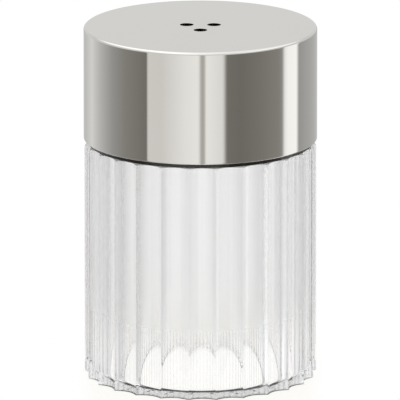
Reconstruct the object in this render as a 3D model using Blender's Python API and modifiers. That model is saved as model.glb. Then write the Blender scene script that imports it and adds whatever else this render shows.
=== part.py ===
"""Salt shaker: a fluted clear jar with a screw-on cap of polished steel.

Four pieces come apart on a bench: the jar, the steel cap shell, the threaded
plastic insert that is pressed into the shell, and the sealing ring in the insert.

Blender 4.5, metres, +Z up. The origin is the centre of the jar's underside, and
the photographed front faces -Y.
"""

import math

import bmesh
import bpy
from mathutils import Matrix

# The jar, in metres
JAR_RADIUS = 0.02285
SHOULDER_HEIGHT = 0.0465
FLUTE_COUNT = 26
FLUTE_DEPTH = 0.00115
FLUTE_TURN = math.radians(0.9)
FOOT_ROUND = 0.0003
SHOULDER_ROUND = 0.00085
FLOOR_THICKNESS = 0.0006
FLOOR_CORNER_ROUND = 0.0010
NECK_WALL = 0.0011
NECK_HEIGHT = 0.01995
NECK_LIP_ROUND = 0.0004
MOUTH_CHAMFER = 0.0003

# The screw thread: a round bead on the neck and another in the insert
THREAD_PITCH = 0.0032
THREAD_TURNS = 1.5
THREAD_BEAD_RADIUS = 0.0007
THREAD_RUN_OUT = math.radians(24.0)
THREAD_TIP_SHARE = 0.2
THREAD_CLEARANCE = 0.0003
THREAD_LEAD_IN = 0.0004

# The cap's pieces
SHELL_WALL = 0.0005
SHELL_OVERHANG = 0.00015
SHELL_TOP_ROUND = 0.00055
SHELL_RIM_ROUND = 0.0002
RIM_GAP = 0.0010
INSERT_FOOT_GAP = 0.0002
INSERT_WALL = 0.0008
INSERT_TOP = 0.00115
INSERT_TOP_CHAMFER = 0.0004
LOCATING_RING_WALL = 0.0010
LOCATING_RING_CLEARANCE = 0.0008
LOCATING_RING_REACH = 0.0008
SEAL_THICKNESS = 0.0010
SEAL_EDGE_CHAMFER = 0.0002
GRIP_RIB_COUNT = 8
GRIP_RIB_WIDTH = 0.0012
GRIP_RIB_CLEARANCE = 0.0001
GRIP_RIB_LOWER_END = 0.0015
GRIP_RIB_UPPER_END = 0.0030

# The pouring holes
HOLE_COUNT = 3
HOLE_RADIUS = 0.0013
HOLE_CIRCLE_RADIUS = 0.0031
INSERT_HOLE_MARGIN = 0.0003

# The gap that neighbouring pieces keep where one seats on the other
SEAT_GAP = 0.0003

# Facets
SEGMENTS_PER_FLUTE = 6
ROUND_SEGMENTS = 96
BORE_SEGMENTS = 72
HOLE_SEGMENTS = 24
CORNER_SEGMENTS = 2
THREAD_POINTS_PER_TURN = 40
THREAD_BEVEL_RESOLUTION = 2
MERGE_DISTANCE = 0.00001
SMOOTH_ANGLE = math.radians(30.0)
CUT_MARGIN = 0.002
FRONT = math.radians(-90.0)

# Radii, worked out from the outside in
SHELL_RADIUS = JAR_RADIUS + SHELL_OVERHANG
SHELL_INNER_RADIUS = SHELL_RADIUS - SHELL_WALL
INSERT_RADIUS = SHELL_INNER_RADIUS - SEAT_GAP
INSERT_INNER_RADIUS = INSERT_RADIUS - INSERT_WALL
NECK_RADIUS = INSERT_INNER_RADIUS - THREAD_BEAD_RADIUS - THREAD_CLEARANCE
BORE_RADIUS = NECK_RADIUS - NECK_WALL
LOCATING_RING_RADIUS = BORE_RADIUS - LOCATING_RING_CLEARANCE

# Heights, worked out from the underside up
SHELL_RIM_Z = SHOULDER_HEIGHT + RIM_GAP
INSERT_FOOT_Z = SHOULDER_HEIGHT + INSERT_FOOT_GAP
NECK_TOP_Z = SHOULDER_HEIGHT + NECK_HEIGHT
SEAL_FOOT_Z = NECK_TOP_Z + SEAT_GAP
SEAL_TOP_Z = SEAL_FOOT_Z + SEAL_THICKNESS
INSERT_CEILING_Z = SEAL_TOP_Z + SEAT_GAP
INSERT_TOP_Z = INSERT_CEILING_Z + INSERT_TOP
SHELL_CEILING_Z = INSERT_TOP_Z + SEAT_GAP
SHELL_TOP_Z = SHELL_CEILING_Z + SHELL_WALL

# The beads' centre lines: tightening draws the insert's bead up under the neck's
INSERT_BEAD_Z = INSERT_FOOT_Z + THREAD_LEAD_IN + THREAD_BEAD_RADIUS
BEAD_RADIAL_STEP = INSERT_INNER_RADIUS - NECK_RADIUS
BEAD_SPACING = 2.0 * THREAD_BEAD_RADIUS + THREAD_CLEARANCE
BEAD_AXIAL_STEP = math.sqrt(BEAD_SPACING**2 - BEAD_RADIAL_STEP**2)
NECK_BEAD_Z = INSERT_BEAD_Z + BEAD_AXIAL_STEP


def clear_scene():
    for item in list(bpy.data.objects):
        bpy.data.objects.remove(item, do_unlink=True)


def new_collection(name):
    collection = bpy.data.collections.new(name)
    bpy.context.scene.collection.children.link(collection)
    return collection


def add_object(name, data, collection):
    item = bpy.data.objects.new(name, data)
    collection.objects.link(item)
    return item


def as_tool(item):
    """Marks an object that only cuts or joins another."""
    item.hide_render = True
    item.display_type = "WIRE"
    return item


def finish_material(name, colour, roughness, metallic=0.0, transmission=0.0, ior=1.5):
    made = bpy.data.materials.new(name)
    made.use_nodes = True
    shader = made.node_tree.nodes["Principled BSDF"]
    shader.inputs["Base Color"].default_value = (*colour, 1.0)
    shader.inputs["Roughness"].default_value = roughness
    shader.inputs["Metallic"].default_value = metallic
    shader.inputs["Transmission Weight"].default_value = transmission
    shader.inputs["IOR"].default_value = ior
    return made


def corner(centre_r, centre_z, radius, start_degrees, end_degrees):
    """Points of a rounded corner in a turned profile, as (radius, height)."""
    points = []
    for step in range(CORNER_SEGMENTS + 1):
        share = step / CORNER_SEGMENTS
        angle = math.radians(start_degrees + (end_degrees - start_degrees) * share)
        points.append((centre_r + radius * math.cos(angle), centre_z + radius * math.sin(angle)))
    return points


def turned(name, profile, steps, collection, closed=False):
    """An object turned about Z from a profile of (radius, height) points, outer side first and downwards."""
    mesh = bpy.data.meshes.new(name)
    last = len(profile) - 1
    edges = [(i, i + 1) for i in range(last)]
    if closed:
        edges.append((last, 0))
    mesh.from_pydata([(radius, 0.0, height) for radius, height in profile], edges, [])
    item = add_object(name, mesh, collection)
    screw = item.modifiers.new("turn", "SCREW")
    screw.axis = "Z"
    screw.steps = steps
    screw.render_steps = steps
    screw.use_merge_vertices = True
    screw.merge_threshold = MERGE_DISTANCE
    return item


def evaluated_mesh(item):
    bpy.context.view_layer.update()
    graph = bpy.context.evaluated_depsgraph_get()
    return bpy.data.meshes.new_from_object(item.evaluated_get(graph))


def baked(item):
    """Replaces an object's data and modifiers by the mesh that they make, with its seams welded."""
    mesh = evaluated_mesh(item)
    shape = bmesh.new()
    shape.from_mesh(mesh)
    bmesh.ops.remove_doubles(shape, verts=shape.verts, dist=MERGE_DISTANCE)
    bmesh.ops.recalc_face_normals(shape, faces=shape.faces)
    shape.to_mesh(mesh)
    shape.free()
    name, collection, place = item.name, item.users_collection[0], item.matrix_world.copy()
    bpy.data.objects.remove(item, do_unlink=True)
    result = add_object(name, mesh, collection)
    result.matrix_world = place
    return result


def combine(item, tool, operation):
    modifier = item.modifiers.new(tool.name, "BOOLEAN")
    modifier.operation = operation
    modifier.solver = "EXACT"
    modifier.object = as_tool(tool)


def finish(item, material):
    """Bakes a finished piece, shades it smooth and gives it its material."""
    item = baked(item)
    item.data.materials.clear()
    item.data.materials.append(material)
    item.data.shade_smooth()
    item.data.set_sharp_from_angle(angle=SMOOTH_ANGLE)
    return item


def flute_cut(angle):
    """How far the jar's outline lies inside its ridge circle, at an angle from the middle of a flute.

    Each flute is one circular arc through two neighbouring ridges, FLUTE_DEPTH deep.
    """
    half_pitch = math.pi / FLUTE_COUNT
    within = (angle + half_pitch) % (2.0 * half_pitch) - half_pitch
    low = JAR_RADIUS - FLUTE_DEPTH
    chord = JAR_RADIUS * math.cos(half_pitch)
    arc_radius = (JAR_RADIUS**2 - 2.0 * low * chord + low**2) / (2.0 * (chord - low))
    arc_centre = low + arc_radius
    across = arc_centre * math.sin(within)
    outline = arc_centre * math.cos(within) - math.sqrt(arc_radius**2 - across**2)
    return JAR_RADIUS - outline


def thread_bead(name, radius, start_z, collection):
    """A right-handed helical bead, thinned to a run-out at both ends."""
    curve = bpy.data.curves.new(name, "CURVE")
    curve.dimensions = "3D"
    curve.bevel_depth = THREAD_BEAD_RADIUS
    curve.bevel_resolution = THREAD_BEVEL_RESOLUTION
    curve.use_fill_caps = True
    count = round(THREAD_TURNS * THREAD_POINTS_PER_TURN) + 1
    spline = curve.splines.new("POLY")
    spline.points.add(count - 1)
    full_angle = 2.0 * math.pi * THREAD_TURNS
    for index, point in enumerate(spline.points):
        angle = full_angle * index / (count - 1)
        height = start_z + THREAD_PITCH * angle / (2.0 * math.pi)
        point.co = (radius * math.cos(angle), radius * math.sin(angle), height, 1.0)
        from_end = min(angle, full_angle - angle)
        point.radius = max(THREAD_TIP_SHARE, min(1.0, from_end / THREAD_RUN_OUT))
    return baked(add_object(name, curve, collection))


def make_jar(parts, tools):
    """The fluted jar: flutes that run out in a rounded shoulder, and a tall threaded neck."""
    blank_profile = [(0.0, SHOULDER_HEIGHT)]
    blank_profile += corner(
        JAR_RADIUS - SHOULDER_ROUND, SHOULDER_HEIGHT - SHOULDER_ROUND, SHOULDER_ROUND, 90.0, 0.0
    )
    blank_profile += corner(JAR_RADIUS - FOOT_ROUND, FOOT_ROUND, FOOT_ROUND, 0.0, -90.0)
    blank_profile += [(0.0, 0.0)]
    jar = baked(turned("fluted_jar", blank_profile, FLUTE_COUNT * SEGMENTS_PER_FLUTE, parts))
    for vertex in jar.data.vertices:
        radius = math.hypot(vertex.co.x, vertex.co.y)
        if radius > MERGE_DISTANCE:
            cut = flute_cut(math.atan2(vertex.co.y, vertex.co.x))
            at_foot = vertex.co.z <= FOOT_ROUND
            scale = (radius - cut if at_foot else min(radius, JAR_RADIUS - cut)) / radius
            vertex.co.x *= scale
            vertex.co.y *= scale
    jar.data.transform(Matrix.Rotation(FRONT + FLUTE_TURN, 4, "Z"))

    neck_profile = [(0.0, NECK_TOP_Z)]
    neck_profile += corner(
        NECK_RADIUS - NECK_LIP_ROUND, NECK_TOP_Z - NECK_LIP_ROUND, NECK_LIP_ROUND, 90.0, 0.0
    )
    neck_profile += [(NECK_RADIUS, SHOULDER_HEIGHT - CUT_MARGIN), (0.0, SHOULDER_HEIGHT - CUT_MARGIN)]
    combine(jar, turned("neck_blank", neck_profile, BORE_SEGMENTS, tools), "UNION")
    combine(jar, thread_bead("neck_thread", NECK_RADIUS, NECK_BEAD_Z, tools), "UNION")

    mouth_radius = BORE_RADIUS + MOUTH_CHAMFER + CUT_MARGIN
    bore_profile = [(0.0, NECK_TOP_Z + CUT_MARGIN), (mouth_radius, NECK_TOP_Z + CUT_MARGIN)]
    bore_profile += [(BORE_RADIUS, NECK_TOP_Z - MOUTH_CHAMFER)]
    bore_profile += corner(
        BORE_RADIUS - FLOOR_CORNER_ROUND, FLOOR_THICKNESS + FLOOR_CORNER_ROUND, FLOOR_CORNER_ROUND, 0.0, -90.0
    )
    bore_profile += [(0.0, FLOOR_THICKNESS)]
    combine(jar, turned("salt_chamber", bore_profile, BORE_SEGMENTS, tools), "DIFFERENCE")
    clear = finish_material("clear_glass", (0.95, 0.96, 0.96), 0.02, transmission=1.0, ior=1.5)
    return finish(jar, clear)


def hole_cutter(name, radius, low_z, high_z, tools):
    """The pouring holes as one cutter, with a hole at the front."""
    shape = bmesh.new()
    depth = high_z - low_z + 2.0 * CUT_MARGIN
    for index in range(HOLE_COUNT):
        angle = FRONT + 2.0 * math.pi * index / HOLE_COUNT
        made = bmesh.ops.create_cone(
            shape, cap_ends=True, segments=HOLE_SEGMENTS, radius1=radius, radius2=radius, depth=depth
        )
        place = (
            HOLE_CIRCLE_RADIUS * math.cos(angle),
            HOLE_CIRCLE_RADIUS * math.sin(angle),
            (low_z + high_z) / 2.0,
        )
        bmesh.ops.translate(shape, verts=made["verts"], vec=place)
    mesh = bpy.data.meshes.new(name)
    shape.to_mesh(mesh)
    shape.free()
    return add_object(name, mesh, tools)


def make_cap_shell(parts, tools):
    """The drawn steel shell, open at its plain rim."""
    inner_round = max(SHELL_TOP_ROUND - SHELL_WALL, MERGE_DISTANCE)
    profile = [(0.0, SHELL_TOP_Z)]
    profile += corner(SHELL_RADIUS - SHELL_TOP_ROUND, SHELL_TOP_Z - SHELL_TOP_ROUND, SHELL_TOP_ROUND, 90.0, 0.0)
    profile += corner(SHELL_RADIUS - SHELL_RIM_ROUND, SHELL_RIM_Z + SHELL_RIM_ROUND, SHELL_RIM_ROUND, 0.0, -90.0)
    profile += [(SHELL_INNER_RADIUS, SHELL_RIM_Z), (SHELL_INNER_RADIUS, SHELL_CEILING_Z - inner_round)]
    profile += [(SHELL_INNER_RADIUS - inner_round, SHELL_CEILING_Z), (0.0, SHELL_CEILING_Z)]
    shell = turned("cap_shell", profile, ROUND_SEGMENTS, parts)
    holes = hole_cutter("shell_holes", HOLE_RADIUS, SHELL_CEILING_Z, SHELL_TOP_Z, tools)
    combine(shell, holes, "DIFFERENCE")
    return finish(shell, finish_material("polished_steel", (0.62, 0.61, 0.60), 0.08, metallic=1.0))


def make_grip_ribs(tools):
    """Upright ribs on the insert's outside that wedge it in the shell."""
    low_z = INSERT_FOOT_Z + GRIP_RIB_LOWER_END
    high_z = INSERT_TOP_Z - GRIP_RIB_UPPER_END
    inner = INSERT_RADIUS - INSERT_WALL / 2.0
    outer = SHELL_INNER_RADIUS - GRIP_RIB_CLEARANCE
    shape = bmesh.new()
    for index in range(GRIP_RIB_COUNT):
        made = bmesh.ops.create_cube(shape, size=1.0)
        bmesh.ops.scale(shape, verts=made["verts"], vec=(outer - inner, GRIP_RIB_WIDTH, high_z - low_z))
        bmesh.ops.translate(shape, verts=made["verts"], vec=((outer + inner) / 2.0, 0.0, (low_z + high_z) / 2.0))
        turn = 2.0 * math.pi * (index + 0.5) / GRIP_RIB_COUNT
        for vertex in made["verts"]:
            x, y = vertex.co.x, vertex.co.y
            vertex.co.x = x * math.cos(turn) - y * math.sin(turn)
            vertex.co.y = x * math.sin(turn) + y * math.cos(turn)
    mesh = bpy.data.meshes.new("grip_ribs")
    shape.to_mesh(mesh)
    shape.free()
    return add_object("grip_ribs", mesh, tools)


def make_thread_insert(parts, tools):
    """The moulded plastic cup pressed into the shell, which stands a little out of the shell's rim."""
    ring_foot_z = NECK_TOP_Z - LOCATING_RING_REACH
    ring_inner = LOCATING_RING_RADIUS - LOCATING_RING_WALL
    profile = [(0.0, INSERT_TOP_Z), (INSERT_RADIUS - INSERT_TOP_CHAMFER, INSERT_TOP_Z)]
    profile += [(INSERT_RADIUS, INSERT_TOP_Z - INSERT_TOP_CHAMFER), (INSERT_RADIUS, INSERT_FOOT_Z)]
    profile += [(INSERT_INNER_RADIUS, INSERT_FOOT_Z), (INSERT_INNER_RADIUS, INSERT_CEILING_Z)]
    profile += [(LOCATING_RING_RADIUS, INSERT_CEILING_Z), (LOCATING_RING_RADIUS, ring_foot_z)]
    profile += [(ring_inner, ring_foot_z), (ring_inner, INSERT_CEILING_Z), (0.0, INSERT_CEILING_Z)]
    insert = turned("thread_insert", profile, BORE_SEGMENTS, parts)
    combine(insert, make_grip_ribs(tools), "UNION")
    combine(insert, thread_bead("insert_thread", INSERT_INNER_RADIUS, INSERT_BEAD_Z, tools), "UNION")
    radius = HOLE_RADIUS + INSERT_HOLE_MARGIN
    combine(insert, hole_cutter("insert_holes", radius, INSERT_CEILING_Z, INSERT_TOP_Z, tools), "DIFFERENCE")
    return finish(insert, finish_material("black_plastic", (0.02, 0.02, 0.02), 0.45))


def make_sealing_ring(parts):
    """The flat silicone ring that the insert presses on the jar's rim."""
    inner = LOCATING_RING_RADIUS + SEAT_GAP
    outer = INSERT_INNER_RADIUS - SEAT_GAP
    edge = SEAL_EDGE_CHAMFER
    profile = [(outer - edge, SEAL_TOP_Z), (outer, SEAL_TOP_Z - edge)]
    profile += [(outer, SEAL_FOOT_Z + edge), (outer - edge, SEAL_FOOT_Z)]
    profile += [(inner + edge, SEAL_FOOT_Z), (inner, SEAL_FOOT_Z + edge)]
    profile += [(inner, SEAL_TOP_Z - edge), (inner + edge, SEAL_TOP_Z)]
    ring = turned("sealing_ring", profile, BORE_SEGMENTS, parts, closed=True)
    return finish(ring, finish_material("pale_silicone", (0.75, 0.75, 0.73), 0.55))


def main():
    clear_scene()
    parts = new_collection("salt_shaker")
    tools = new_collection("cutters")
    make_jar(parts, tools)
    make_cap_shell(parts, tools)
    make_thread_insert(parts, tools)
    make_sealing_ring(parts)


main()
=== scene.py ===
"""The looks of a salt shaker: a clear fluted jar under a screw-on cap of polished steel."""

import math

import bmesh
import bpy
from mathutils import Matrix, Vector


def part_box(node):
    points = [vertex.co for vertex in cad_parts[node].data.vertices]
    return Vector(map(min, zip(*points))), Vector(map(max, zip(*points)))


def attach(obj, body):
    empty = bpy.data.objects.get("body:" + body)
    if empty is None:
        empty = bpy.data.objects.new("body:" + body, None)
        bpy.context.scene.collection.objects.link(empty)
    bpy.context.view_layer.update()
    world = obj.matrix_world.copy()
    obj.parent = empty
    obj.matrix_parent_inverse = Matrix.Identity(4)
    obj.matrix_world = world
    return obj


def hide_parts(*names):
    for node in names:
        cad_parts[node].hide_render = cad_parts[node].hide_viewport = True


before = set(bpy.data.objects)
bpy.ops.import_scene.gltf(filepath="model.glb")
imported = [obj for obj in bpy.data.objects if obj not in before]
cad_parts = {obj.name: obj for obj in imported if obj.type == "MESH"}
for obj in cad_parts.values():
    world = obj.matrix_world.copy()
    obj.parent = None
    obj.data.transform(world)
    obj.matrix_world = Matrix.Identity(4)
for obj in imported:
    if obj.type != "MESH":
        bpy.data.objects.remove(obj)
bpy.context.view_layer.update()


# The jar is pressed from clear glass: upright flutes all round, a flat shoulder, and a tall neck
# with a rounded screw thread. A slight haze on its inside wall thins out towards the floor.
# It stands on its flat underside and carries all the other pieces.

flute_count = 26
flute_turn = math.radians(0.9)
flute_depth = 0.00115
crest_round = 0.00012
ridge_radius = 0.02285
foot_round = 0.0003
shoulder_height = 0.0465
shoulder_round = 0.00085
shoulder_sweep = 58.0
edge_round = 0.00012
neck_radius = 0.0204
neck_root_round = 0.0003
neck_lip_round = 0.0004
neck_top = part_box("fluted_jar")[1].z
bore_radius = 0.0193
floor_height = 0.0006
floor_round = 0.0010
front = math.radians(-90.0)

thread_start = 0.04918
thread_pitch = 0.0032
thread_turns = 1.5
thread_bead = 0.0007
thread_spread = 0.0009
thread_run_out = 24.0 / 360.0
thread_row = 0.00016

flute_points = 10
crest_points = 3
round_steps = 5
floor_steps = 36
support = 0.00006
sharp_angle = math.radians(25.0)

melt_scale = 60.0
glass_tints = (0.99, 0.99, 0.99, 1.0), (0.98, 0.98, 0.98, 1.0)
glass_roughness = 0.006
glass_grey = (0.5, 0.5, 0.5, 1.0)
glass_density = 28.0
haze_roughness = 0.34
haze_edge = (bore_radius + 0.0001, bore_radius + 0.0002)
haze_start = (0.0030, 0.0175)


def flute_outline():
    """One turn of the jar's outline as (angle, inset from the ridge circle) pairs.

    Each flute is an arc that runs into the small rounds of its two ridges.
    """
    half = math.pi / flute_count
    low = ridge_radius - flute_depth
    crest = ridge_radius - crest_round
    gap = low**2 + crest**2 - 2.0 * low * crest * math.cos(half) - crest_round**2
    arc_radius = gap / (2.0 * (crest * math.cos(half) + crest_round - low))
    arc_middle = low + arc_radius
    crest_x, crest_y = crest * math.cos(half), crest * math.sin(half)
    sweep = math.atan2(crest_y, arc_middle - crest_x)
    side = []
    for i in range(flute_points + 1):
        angle = sweep * i / flute_points
        side.append((arc_middle - arc_radius * math.cos(angle), arc_radius * math.sin(angle)))
    for i in range(1, crest_points + 1):
        angle = -sweep + (half + sweep) * i / crest_points
        side.append((crest_x + crest_round * math.cos(angle), crest_y + crest_round * math.sin(angle)))
    side = [(math.atan2(y, x), ridge_radius - math.hypot(x, y)) for x, y in side]
    outline = []
    for k in range(flute_count):
        middle = front + flute_turn + 2.0 * half * k
        outline += [(middle - angle, inset) for angle, inset in reversed(side[1:])]
        outline += [(middle + angle, inset) for angle, inset in side[:-1]]
    return outline


def arc(centre_r, centre_z, radius, start, end, steps=round_steps):
    """Points (radius, height) of a rounded corner in a turned profile, angles in degrees."""
    angles = [math.radians(start + (end - start) * i / steps) for i in range(steps + 1)]
    return [(centre_r + radius * math.cos(a), centre_z + radius * math.sin(a)) for a in angles]


def polar(radius, angle, height):
    return (radius * math.cos(angle), radius * math.sin(angle), height)


def full_turn(count):
    return [2.0 * math.pi * i / count for i in range(count)]


def add_loop(shape, points):
    return [shape.verts.new(point) for point in points]


def skin(shape, loops):
    """Quads between each closed loop of points and the next."""
    for near, far in zip(loops, loops[1:]):
        for i in range(len(near)):
            shape.faces.new((near[i - 1], near[i], far[i], far[i - 1]))


def fan(shape, loop, height):
    """Closes a round loop with triangles to a point on the axis."""
    middle = shape.verts.new((0.0, 0.0, height))
    for i in range(len(loop)):
        shape.faces.new((loop[i - 1], loop[i], middle))


def along(before, here, after):
    """The direction of a curve at the middle one of three points that needn't be evenly spaced."""
    come, go = here - before, after - here
    return come * (go.length / come.length) + go * (come.length / go.length)


def smooth_normals(loops):
    """The normal at each point of a skin that has no hard edge, loop after loop."""
    normals = []
    for k, loop in enumerate(loops):
        below, above = loops[max(k - 1, 0)], loops[min(k + 1, len(loops) - 1)]
        for i, point in enumerate(loop):
            if k in (0, len(loops) - 1):
                up = above[i].co - below[i].co
            else:
                up = along(below[i].co, point.co, above[i].co)
            round_about = along(loop[i - 1].co, point.co, loop[(i + 1) % len(loop)].co)
            normals.append(round_about.cross(up).normalized())
    return normals


def as_piece(name, shape, normals=None):
    """The object that a shape makes, shaded smooth by its normals or else between its sharp edges."""
    bmesh.ops.recalc_face_normals(shape, faces=shape.faces)
    mesh = bpy.data.meshes.new(name)
    shape.to_mesh(mesh)
    shape.free()
    mesh.shade_smooth()
    if normals:
        mesh.normals_split_custom_set_from_vertices(normals)
    else:
        mesh.set_sharp_from_angle(angle=sharp_angle)
    item = bpy.data.objects.new(name, mesh)
    bpy.context.scene.collection.objects.link(item)
    return item


def thread_height(angle, height):
    """How far the screw thread stands out of the neck there."""
    stands = 0.0
    share = (angle / (2.0 * math.pi)) % 1.0
    for turn in (share, share + 1.0):
        off = abs(height - thread_start - thread_pitch * turn)
        if turn < thread_turns and off < thread_spread:
            tip = min(1.0, min(turn, thread_turns - turn) / thread_run_out)
            stands = max(stands, tip * thread_bead * (0.5 + 0.5 * math.cos(math.pi * off / thread_spread)))
    return stands


outline = flute_outline()
foot = [(ridge_radius - foot_round - flute_depth, 0.0), (ridge_radius - foot_round - support, 0.0)]
foot += arc(ridge_radius - foot_round, foot_round, foot_round, -90.0, 0.0)
foot += [(ridge_radius, foot_round + support)]
loops = [[polar(r - inset, a, z) for a, inset in outline] for r, z in foot]

round_foot = shoulder_height - shoulder_round
rounded = arc(ridge_radius - shoulder_round, round_foot, shoulder_round, 0.0, shoulder_sweep)
shoulder = [(ridge_radius, round_foot - support)] + [(ridge_radius, z) for r, z in rounded]
shoulder += arc(ridge_radius - edge_round, shoulder_height - edge_round, edge_round, 0.0, 90.0)
edge_top = shoulder[-1][0]
shoulder += [(ridge_radius - edge_round - support, shoulder_height)]
for r, z in shoulder:
    across = math.sqrt(shoulder_round**2 - max(z - round_foot, 0.0) ** 2)
    ridge = ridge_radius - shoulder_round + across - max(0.0, edge_top - r)
    loops.append([polar(min(r - inset, ridge), a, z) for a, inset in outline])

neck = [(neck_radius + neck_root_round + support, shoulder_height)]
neck += arc(neck_radius + neck_root_round, shoulder_height + neck_root_round, neck_root_round, 270.0, 180.0)
rows = int((thread_pitch * thread_turns + 2.0 * thread_spread) / thread_row)
neck += [(neck_radius, thread_start - thread_spread + thread_row * i) for i in range(rows + 1)]
neck += arc(neck_radius - neck_lip_round, neck_top - neck_lip_round, neck_lip_round, 0.0, 90.0)
bore = arc(bore_radius + neck_lip_round, neck_top - neck_lip_round, neck_lip_round, 90.0, 180.0)
bore += [(bore_radius, neck_top - neck_lip_round - support)]
bore += [(bore_radius, floor_height + floor_round + support)]
bore += arc(bore_radius - floor_round, floor_height + floor_round, floor_round, 0.0, -90.0, floor_steps)
bore += [(bore_radius - floor_round - support, floor_height)]
for r, z in neck + bore:
    threaded = r == neck_radius
    loops.append([polar(r + threaded * thread_height(a, z), a, z) for a, inset in outline])

jar_shape = bmesh.new()
loops = [add_loop(jar_shape, loop) for loop in loops]
skin(jar_shape, loops)
normals = smooth_normals(loops) + [Vector((0.0, 0.0, -1.0)), Vector((0.0, 0.0, 1.0))]
fan(jar_shape, loops[0], 0.0)
fan(jar_shape, loops[-1], floor_height)
jar = as_piece("clear_jar", jar_shape, normals)


class Value:
    """A shader socket that takes part in Python sums, each of which adds its Math node."""

    def __init__(self, finish, socket):
        self.finish = finish
        self.socket = socket

    def math(self, operation, *others):
        return self.finish.node("Math", {"operation": operation}, dict(enumerate((self, *others))))

    def __add__(self, other):
        return self.math("ADD", other)

    def __radd__(self, other):
        return self.finish.node("Math", {"operation": "ADD"}, {0: other, 1: self})

    def __sub__(self, other):
        return self.math("SUBTRACT", other)

    def __rsub__(self, other):
        return self.finish.node("Math", {"operation": "SUBTRACT"}, {0: other, 1: self})

    def __mul__(self, other):
        return self.math("MULTIPLY", other)

    def __rmul__(self, other):
        return self.finish.node("Math", {"operation": "MULTIPLY"}, {0: other, 1: self})

    def __truediv__(self, other):
        return self.math("DIVIDE", other)

    def __rtruediv__(self, other):
        return self.finish.node("Math", {"operation": "DIVIDE"}, {0: other, 1: self})

    def step(self, low, high):
        """0 below low and 1 above high, with a smooth way between."""
        return self.finish.node(
            "MapRange",
            {"interpolation_type": "SMOOTHSTEP"},
            {"Value": self, "From Min": low, "From Max": high},
        )

    def blend(self, first, second):
        """The first colour where this is 0 and the second where it is 1."""
        return self.finish.node("Mix", {"data_type": "RGBA"}, {0: self, 6: first, 7: second}, 2)

    def choose(self, first, second):
        """The first shader where this is 0 and the second where it is 1."""
        return self.finish.node("MixShader", sockets={0: self, 1: first, 2: second})


class Finish:
    """The nodes of a material or world."""

    def __init__(self, owner):
        owner.use_nodes = True
        self.tree = owner.node_tree
        self.tree.nodes.clear()

    def node(self, kind, settings=None, sockets=None, output=0):
        """Adds a node of any kind and gives one of its outputs, by number or name."""
        made = self.tree.nodes.new("ShaderNode" + kind)
        for name, setting in (settings or {}).items():
            if name == "stops":
                marks = made.color_ramp.elements
                while len(marks) < len(setting):
                    marks.new(1.0)
                for mark, (place, colour) in zip(marks, setting):
                    mark.position = place
                    mark.color = (*colour, 1.0)
            else:
                setattr(made, name, setting)
        for name, value in (sockets or {}).items():
            if isinstance(value, Value):
                self.tree.links.new(value.socket, made.inputs[name])
            else:
                made.inputs[name].default_value = value
        return Value(self, made.outputs[output]) if made.outputs else None


def new_finish(name, item):
    material = bpy.data.materials.new(name)
    item.data.materials.clear()
    item.data.materials.append(material)
    return Finish(material)


glass = new_finish("clear_glass", jar)
place = glass.node("TexCoord", output="Object")
melt = glass.node("TexNoise", sockets={"Vector": place, "Scale": melt_scale, "Detail": 2.0}, output="Fac")
flat = glass.node("VectorMath", {"operation": "MULTIPLY"}, {0: place, 1: (1.0, 1.0, 0.0)})
from_axis = glass.node("VectorMath", {"operation": "LENGTH"}, {0: flat}, "Value")
height = glass.node("SeparateXYZ", sockets={0: place}, output="Z")
haze = (1.0 - from_axis.step(*haze_edge)) * height.step(*haze_start)
surface = glass.node(
    "BsdfPrincipled",
    sockets={
        "Base Color": melt.blend(*glass_tints),
        "Roughness": melt * glass_roughness + haze * haze_roughness,
        "Transmission Weight": 1.0,
        "IOR": 1.5,
    },
)
depth = glass.node("VolumeAbsorption", sockets={"Color": glass_grey, "Density": glass_density})
glass.node("OutputMaterial", sockets={"Surface": surface, "Volume": depth})
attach(jar, "jar")
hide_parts("fluted_jar")


# The sealing ring is a flat ring of pale silicone, cut or moulded, that the cap presses on the
# jar's lip. It is the modelled ring itself, with a dull, slightly mottled finish.

mottle_scale = 900.0
silicone_tints = (0.70, 0.70, 0.67, 1.0), (0.80, 0.80, 0.77, 1.0)
silicone_roughness = 0.5
silicone_unevenness = 0.15

seal_finish = new_finish("pale_silicone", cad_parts["sealing_ring"])
place = seal_finish.node("TexCoord", output="Object")
mottle = seal_finish.node(
    "TexNoise", sockets={"Vector": place, "Scale": mottle_scale, "Detail": 3.0}, output="Fac"
)
surface = seal_finish.node(
    "BsdfPrincipled",
    sockets={
        "Base Color": mottle.blend(*silicone_tints),
        "Roughness": silicone_roughness + mottle * silicone_unevenness,
    },
)
seal_finish.node("OutputMaterial", sockets={"Surface": surface})


# The thread insert is a cup moulded in glossy black plastic. It carries the cap's thread and three
# wider holes, is pressed into the steel shell until its ribs grip, and shows as a black line below it.

grain_scale = 2500.0
grain_depth = 0.00002
grain_strength = 0.05
plastic_tints = (0.006, 0.006, 0.006, 1.0), (0.012, 0.012, 0.012, 1.0)
plastic_roughness = 0.16
plastic_unevenness = 0.10

plastic = new_finish("black_plastic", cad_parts["thread_insert"])
place = plastic.node("TexCoord", output="Object")
grain = plastic.node("TexNoise", sockets={"Vector": place, "Scale": grain_scale, "Detail": 2.0}, output="Fac")
pores = plastic.node("Bump", sockets={"Strength": grain_strength, "Distance": grain_depth, "Height": grain})
surface = plastic.node(
    "BsdfPrincipled",
    sockets={
        "Base Color": grain.blend(*plastic_tints),
        "Roughness": plastic_roughness + grain * plastic_unevenness,
        "Normal": pores,
    },
)
plastic.node("OutputMaterial", sockets={"Surface": surface})


# The cap's shell is drawn from thin stainless steel and polished bright. Three pouring holes are
# punched in its flat top, and its plain rim stops just short of the insert's foot.

shell_low, shell_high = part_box("cap_shell")
shell_radius = shell_high.x
shell_wall = 0.0005
top_round = 0.00055
rim_round = 0.0002
hole_count = 3
hole_radius = 0.00134
hole_circle = 0.0031
hole_round = 0.00004
pierced_radius = 0.0075
shell_points = 192
top_round_steps = 10
hole_points = 64
hole_round_steps = 4

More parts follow.
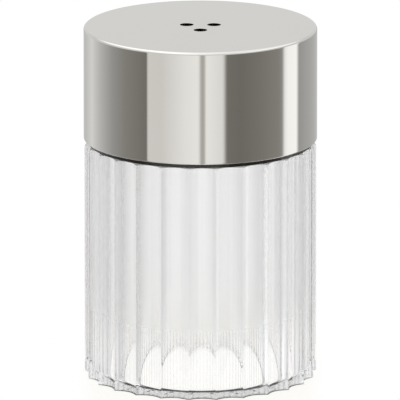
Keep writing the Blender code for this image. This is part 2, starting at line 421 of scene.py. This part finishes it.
polish_scale = (30.0, 30.0, 2500.0)
polish_depth = 0.00001
polish_strength = 0.01
cloud_scale = 90.0
steel_tints = (0.635, 0.625, 0.605, 1.0), (0.620, 0.610, 0.590, 1.0)
steel_roughness = 0.03
polish_unevenness = 0.02
cloud_unevenness = 0.01

inner_radius = shell_radius - shell_wall
ceiling = shell_high.z - shell_wall
turned = [(pierced_radius, shell_high.z), (shell_radius - top_round - support, shell_high.z)]
turned += arc(shell_radius - top_round, shell_high.z - top_round, top_round, 90.0, 0.0, top_round_steps)
turned += [(shell_radius, shell_high.z - top_round - support)]
turned += [(shell_radius, shell_low.z + rim_round + support)]
turned += arc(shell_radius - rim_round, shell_low.z + rim_round, rim_round, 0.0, -90.0)
turned += arc(inner_radius + rim_round, shell_low.z + rim_round, rim_round, -90.0, -180.0)
turned += [(inner_radius, ceiling), (pierced_radius, ceiling)]
punched = [(hole_radius + hole_round + support, shell_high.z)]
punched += arc(hole_radius + hole_round, shell_high.z - hole_round, hole_round, 90.0, 180.0, hole_round_steps)
punched += [(hole_radius, shell_high.z - hole_round - support), (hole_radius, ceiling)]

shell_shape = bmesh.new()
loops = [add_loop(shell_shape, [polar(r, a, z) for a in full_turn(shell_points)]) for r, z in turned]
skin(shell_shape, loops)
top_loops, ceiling_loops = [loops[0]], [loops[-1]]
for k in range(hole_count):
    middle = Vector(polar(hole_circle, front + 2.0 * math.pi * k / hole_count, 0.0))
    rings = []
    for r, z in punched:
        rings.append(add_loop(shell_shape, [middle + Vector(polar(r, a, z)) for a in full_turn(hole_points)]))
    skin(shell_shape, rings)
    top_loops.append(rings[0])
    ceiling_loops.append(rings[-1])
for pierced in (top_loops, ceiling_loops):
    rims = [shell_shape.edges.get((loop[i - 1], loop[i])) for loop in pierced for i in range(len(loop))]
    bmesh.ops.triangle_fill(shell_shape, use_beauty=True, edges=rims)
shell = as_piece("steel_shell", shell_shape)

steel = new_finish("polished_steel", shell)
place = steel.node("TexCoord", output="Object")
drawn = steel.node("Mapping", sockets={"Vector": place, "Scale": polish_scale})
lines = steel.node("TexNoise", sockets={"Vector": drawn, "Scale": 1.0, "Detail": 3.0}, output="Fac")
cloud = steel.node("TexNoise", sockets={"Vector": place, "Scale": cloud_scale, "Detail": 3.0}, output="Fac")
polish = steel.node("Bump", sockets={"Strength": polish_strength, "Distance": polish_depth, "Height": lines})
surface = steel.node(
    "BsdfPrincipled",
    sockets={
        "Base Color": cloud.blend(*steel_tints),
        "Metallic": 1.0,
        "Roughness": steel_roughness + lines * polish_unevenness + cloud * cloud_unevenness,
        "Normal": polish,
    },
)
steel.node("OutputMaterial", sockets={"Surface": surface})
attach(shell, "cap")
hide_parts("cap_shell")


# The stage is a small white table that fades out into the white of the studio. The dark line along the front
# of the jar's foot is a painted shadow in the table's glow; no light casts it.

table_radius = 0.12
table_points = 96
table_drop = 0.00005
table_side_fade = (0.019, 0.025)
table_end_fade = (0.045, 0.062)
table_paint = (0.8, 0.8, 0.8, 1.0)
table_glow = (1.0, 0.99, 0.955, 1.0)
table_shadow = 0.1
# Painted shade: seen through the glass, the table's glow grows dimmer further behind the jar.
painted_far_shade_span = (0.020, 0.050)
painted_far_shade = 0.1
# Painted shadow: a dark ring drawn in the table's glow under the front of the jar's wall.
painted_foot_shadow_inner = (0.0180, 0.0185)
painted_foot_shadow_outer = (-0.0002, 0.0003)
painted_foot_shadow_front = (-0.006, 0.0)
painted_foot_shadow_light = 0.04
black = (0.0, 0.0, 0.0, 1.0)

table_shape = bmesh.new()
table_rim = add_loop(table_shape, [polar(table_radius, a, 0.0) for a in full_turn(table_points)])
fan(table_shape, table_rim, 0.0)
table = as_piece("table", table_shape)
table.location.z = -table_drop

white = new_finish("white_table", table)
place = white.node("TexCoord", output="Object")
from_axis = white.node("VectorMath", {"operation": "LENGTH"}, {0: place}, "Value")
right = white.node("SeparateXYZ", sockets={0: place}, output="X")
behind = white.node("SeparateXYZ", sockets={0: place}, output="Y")
flute = (behind.math("ARCTAN2", right) - (front + flute_turn)) / (2.0 * math.pi / flute_count)
flute = flute - flute.math("ROUND")
past_foot = from_axis - (ridge_radius - flute_depth) - flute * flute * (4.0 * flute_depth)
# The painted foot shadow runs from just inside the wall out to the flutes' outline, on the front half only.
painted_foot_shadow = from_axis.step(*painted_foot_shadow_inner) * (1.0 - past_foot.step(*painted_foot_shadow_outer))
painted_foot_shadow = painted_foot_shadow * (1.0 - behind.step(*painted_foot_shadow_front))
through_glass = white.node("LightPath", output="Is Transmission Ray")
lit = 1.0 - painted_foot_shadow * (1.0 - painted_foot_shadow_light)
# The painted shade behind the jar, for rays that came through the glass.
lit = lit * (1.0 - through_glass * behind.step(*painted_far_shade_span) * painted_far_shade)
glow = white.node("Emission", sockets={"Color": lit.blend(black, table_glow)})
paint = white.node("BsdfDiffuse", sockets={"Color": table_paint})
seen = white.node("LightPath", output="Is Camera Ray") * (1.0 - table_shadow)
seen = seen.math("MAXIMUM", through_glass)
seen = seen.math("MAXIMUM", white.node("LightPath", output="Is Glossy Ray"))
past_side = right.math("ABSOLUTE").step(*table_side_fade)
past_edge = past_side.math("MAXIMUM", from_axis.step(*table_end_fade))
faded = past_edge.choose(seen.choose(paint, glow), white.node("BsdfTransparent"))
white.node("OutputMaterial", sockets={"Surface": faded})


# The studio: grey and white panels stand all round, below eye level, and a soft white ceiling
# hangs overhead. The steel mirrors them, the glass shows a softer set of panels, and the camera
# sees plain white.

panel_level = 1.8
panels = [
    (-180.0, 0.62),
    (-158.0, 0.65),
    (-149.0, 0.76),
    (-136.0, 0.94),
    (-117.0, 0.68),
    (-97.0, 0.44),
    (-80.0, 0.335),
    (-54.6, 0.25),
    (-53.2, 0.94),
    (-48.0, 0.93),
    (-39.0, 0.92),
    (-15.0, 1.16),
    (-3.0, 1.22),
    (-1.0, 1.10),
    (0.5, 0.60),
    (3.7, 0.60),
    (5.7, 1.20),
    (8.0, 1.20),
    (22.0, 1.07),
    (26.0, 0.25),
    (40.0, 0.23),
    (60.0, 0.27),
    (84.0, 0.34),
    (88.5, 0.40),
    (92.5, 1.22),
    (97.0, 1.40),
    (110.0, 1.43),
    (114.5, 0.46),
    (128.0, 0.52),
    (150.0, 0.57),
    (165.0, 0.60),
    (180.0, 0.62),
]
soft_panels = [
    (-180.0, 1.08),
    (-165.0, 1.06),
    (-150.0, 1.01),
    (-130.0, 0.94),
    (-118.0, 0.84),
    (-105.0, 0.66),
    (-85.0, 0.68),
    (-70.0, 0.90),
    (-50.0, 1.00),
    (50.0, 1.00),
    (70.0, 1.12),
    (85.0, 1.19),
    (105.0, 1.26),
    (118.0, 1.08),
    (132.0, 0.97),
    (150.0, 0.98),
    (165.0, 1.04),
    (180.0, 1.08),
]
ceiling_panels = [
    (-1.0, 1.20),
    (-0.65, 1.50),
    (-0.45, 1.70),
    (-0.25, 1.70),
    (0.0, 1.45),
    (0.3, 1.25),
    (0.5, 1.30),
    (0.7, 1.65),
    (1.0, 1.30),
]
wall_level = 0.87
soft_ceiling_level = 1.25
eye_level = (-0.08, 0.08)
ceiling_edge = (0.45, 0.65)
dim_tint = Vector((1.0, 0.957, 0.875))
light_tint = Vector((1.0, 0.997, 0.98))
rear_tint = Vector((1.0, 1.0, 0.985))
plain_tint = Vector((1.0, 1.0, 1.0))
dim_level = 0.25
light_level = 1.2
front_reach = 85.0

world = bpy.data.worlds.new("studio")
bpy.context.scene.world = world
studio = Finish(world)
towards = studio.node("TexCoord", output="Generated")
right, behind, up = [studio.node("SeparateXYZ", sockets={0: towards}, output=axis) for axis in "XYZ"]
turn = right.math("ARCTAN2", 0.0 - behind) / (2.0 * math.pi) + 0.5
above_eyes = up.step(*eye_level)


def panel_tint(azimuth, level):
    """The colour of a panel: those at the front are the warmer, the dimmer they are."""
    if abs(azimuth) >= front_reach:
        return rear_tint
    share = (level - dim_level) / (light_level - dim_level)
    return dim_tint.lerp(light_tint, min(1.0, max(0.0, share)))


def ramp(where, stops):
    return studio.node("ValToRGB", {"stops": stops}, {0: where}, "Color")


stops = [((a + 180.0) / 360.0, panel_tint(a, level) * (level / panel_level)) for a, level in panels]
panel_light = ramp(turn, stops)
stops = [((x + 1.0) / 2.0, rear_tint * (level / panel_level)) for x, level in ceiling_panels]
ceiling_light = ramp(right * 0.5 + 0.5, stops)
wall_light = (*(rear_tint * (wall_level / panel_level)), 1.0)
hard = above_eyes.blend(panel_light, up.step(*ceiling_edge).blend(wall_light, ceiling_light))
hard_lights = studio.node("Background", sockets={"Color": hard, "Strength": panel_level})

stops = [((a + 180.0) / 360.0, plain_tint * (level / panel_level)) for a, level in soft_panels]
soft_ceiling = (*(plain_tint * (soft_ceiling_level / panel_level)), 1.0)
soft = above_eyes.blend(ramp(turn, stops), soft_ceiling)
soft_lights = studio.node("Background", sockets={"Color": soft, "Strength": panel_level})

through_glass = studio.node("LightPath", output="Transmission Depth").math("MINIMUM", 1.0)
camera_ray = studio.node("LightPath", output="Is Camera Ray")
plain = studio.node("Background", sockets={"Color": (*plain_tint, 1.0)})
lights = camera_ray.choose(through_glass.choose(hard_lights, soft_lights), plain)
studio.node("OutputWorld", sockets={"Surface": lights})


# The camera stands well back with a long lens, a little above the cap, square to the front.

picture_pixels = 400
cap_pixels = 233.1
elevation = math.radians(13.85)
lens = 1300.0
sensor = 36.0
aim_height = 0.0348
far_clip = 10.0
shift_right = -0.4

camera_data = bpy.data.cameras.new("camera")
camera_data.lens = lens
camera_data.sensor_width = sensor
camera_data.clip_end = far_clip
camera_data.shift_x = shift_right / picture_pixels
camera = bpy.data.objects.new("camera", camera_data)
bpy.context.scene.collection.objects.link(camera)
bpy.context.scene.camera = camera
frame_width = 2.0 * shell_radius * picture_pixels / cap_pixels
distance = frame_width * lens / sensor
back = Vector((0.0, -math.cos(elevation), math.sin(elevation)))
camera.location = Vector((0.0, 0.0, aim_height)) + back * distance
camera.rotation_mode = "QUATERNION"
camera.rotation_quaternion = (-back).to_track_quat("-Z", "Y")

scene = bpy.context.scene
scene.view_settings.view_transform = "Standard"
scene.cycles.max_bounces = 48
scene.cycles.glossy_bounces = 32
scene.cycles.transmission_bounces = 32
